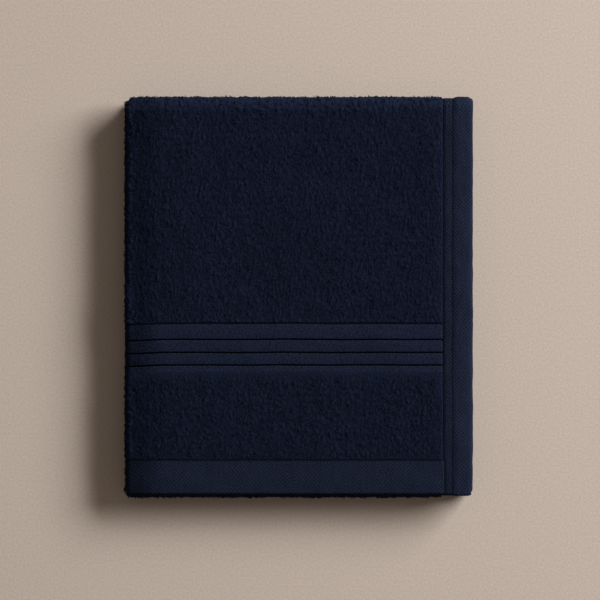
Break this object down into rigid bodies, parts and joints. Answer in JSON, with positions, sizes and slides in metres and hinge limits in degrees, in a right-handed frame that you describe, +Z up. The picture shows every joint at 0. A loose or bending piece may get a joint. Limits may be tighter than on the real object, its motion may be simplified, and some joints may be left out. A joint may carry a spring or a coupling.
{
  "type": "folded bath towel",
  "caption": "Folded terry bath towel with a ribbed flat-woven border and sewn hems; its panels open and close like an accordion.",
  "frame": {"origin": "on the surface it lies on, under the middle of the folded stack", "axes": "+X towards the side hems (the half fold is at -X), -Y towards the end hem that lies on top, +Z up"},
  "size_m": [0.381, 0.44, 0.0356],
  "materials": {
    "terry_pile": "looped cotton pile, navy, matt",
    "flat_weave": "smooth flat-woven cotton ribs, navy",
    "hem_cloth": "pressed twill-woven cotton hem, navy",
    "sewing_thread": "dark navy polyester sewing thread"
  },
  "bodies": {
    "base_panel": {"base_terry_field": "terry_pile", "base_terry_end": "terry_pile", "back_border_rib_1": "flat_weave", "back_border_rib_2": "flat_weave", "back_border_rib_3": "flat_weave", "back_border_edge": "flat_weave", "back_end_hem": "hem_cloth", "back_end_seam": "sewing_thread", "base_upper_side_hem": "hem_cloth", "base_lower_side_hem": "hem_cloth", "base_side_seams": "sewing_thread", "front_fold_terry": "terry_pile", "front_fold_side_hems": "hem_cloth", "front_fold_seams": "sewing_thread"},
    "middle_panel": {"middle_terry_field": "terry_pile", "middle_upper_side_hem": "hem_cloth", "middle_lower_side_hem": "hem_cloth", "middle_side_seams": "sewing_thread", "back_fold_terry": "terry_pile", "back_fold_side_hems": "hem_cloth", "back_fold_seams": "sewing_thread"},
    "top_panel": {"top_terry_field": "terry_pile", "top_terry_end": "terry_pile", "front_border_rib_1": "flat_weave", "front_border_rib_2": "flat_weave", "front_border_rib_3": "flat_weave", "front_border_edge": "flat_weave", "front_end_hem": "hem_cloth", "front_end_seam": "sewing_thread", "top_upper_side_hem": "hem_cloth", "top_lower_side_hem": "hem_cloth", "top_side_seams": "sewing_thread"}
  },
  "joints": [
    {"name": "front_fold", "type": "hinge", "parent": "base_panel", "child": "middle_panel", "pos_m": [0, -0.2082, 0.0118], "axis": [1, 0, 0], "range_deg": [0, 179.9], "deforming": ["front_fold_terry", "front_fold_side_hems", "front_fold_seams"]},
    {"name": "back_fold", "type": "hinge", "parent": "middle_panel", "child": "top_panel", "pos_m": [0, 0.2082, 0.0238], "axis": [-1, 0, 0], "range_deg": [0, 179.9], "deforming": ["back_fold_terry", "back_fold_side_hems", "back_fold_seams"]}
  ],
  "couplings": [
    {"joint": "back_fold", "follows": "front_fold", "ratio": 1}
  ]
}
